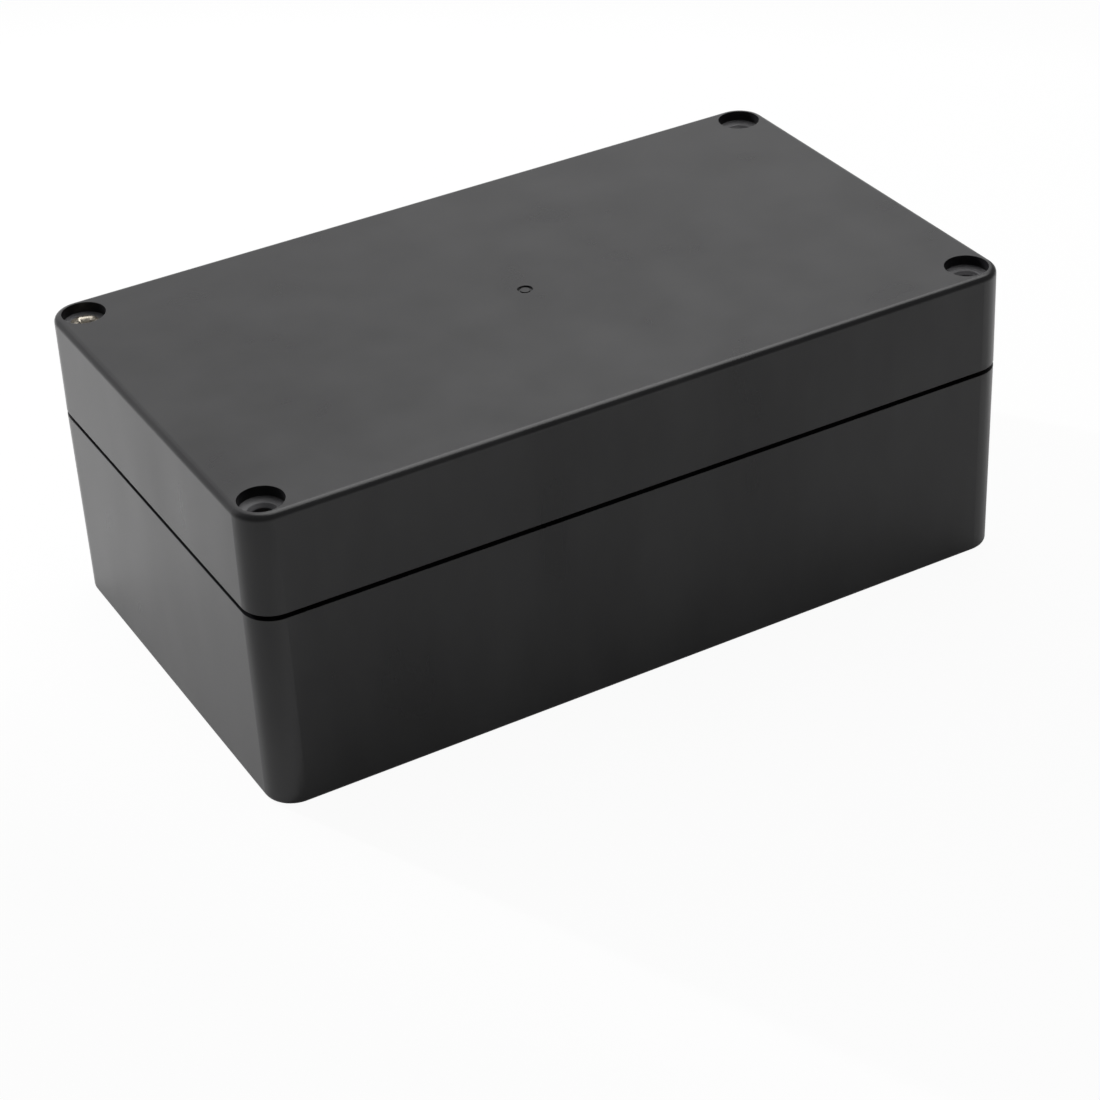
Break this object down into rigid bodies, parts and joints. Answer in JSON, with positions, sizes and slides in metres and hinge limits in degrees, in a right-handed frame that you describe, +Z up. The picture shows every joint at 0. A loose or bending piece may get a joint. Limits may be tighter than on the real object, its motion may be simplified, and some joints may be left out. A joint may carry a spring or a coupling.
{
  "type": "plastic project box",
  "caption": "Rectangular black plastic enclosure with a deep lid, round screw pockets in its corners, a sealing cord and board bosses inside.",
  "frame": {"origin": "middle of the underside, on the surface that the box stands on", "axes": "+X along the long sides, +Y along the short sides, +Z up through the lid"},
  "size_m": [0.158, 0.09, 0.061],
  "materials": {
    "case": "fine even texture with a soft sheen",
    "insert": "turned",
    "screw": "bright zinc",
    "cord": "smooth white silicone"
  },
  "bodies": {
    "base": {"base": "case", "insert_back_right": "insert", "insert_back_left": "insert", "insert_front_left": "insert", "insert_front_right": "insert"},
    "lid": {"lid": "case", "gasket": "cord"},
    "screw": {"lid_screw": "screw"}
  },
  "joints": [
    {"name": "lid_lift", "type": "slide", "parent": "base", "child": "lid", "axis": [0, 0, 1], "range_m": [0, 0.05]},
    {"name": "screw_out", "type": "slide", "parent": "lid", "child": "screw", "axis": [0, 0, 1], "range_m": [0, 0.018]}
  ]
}
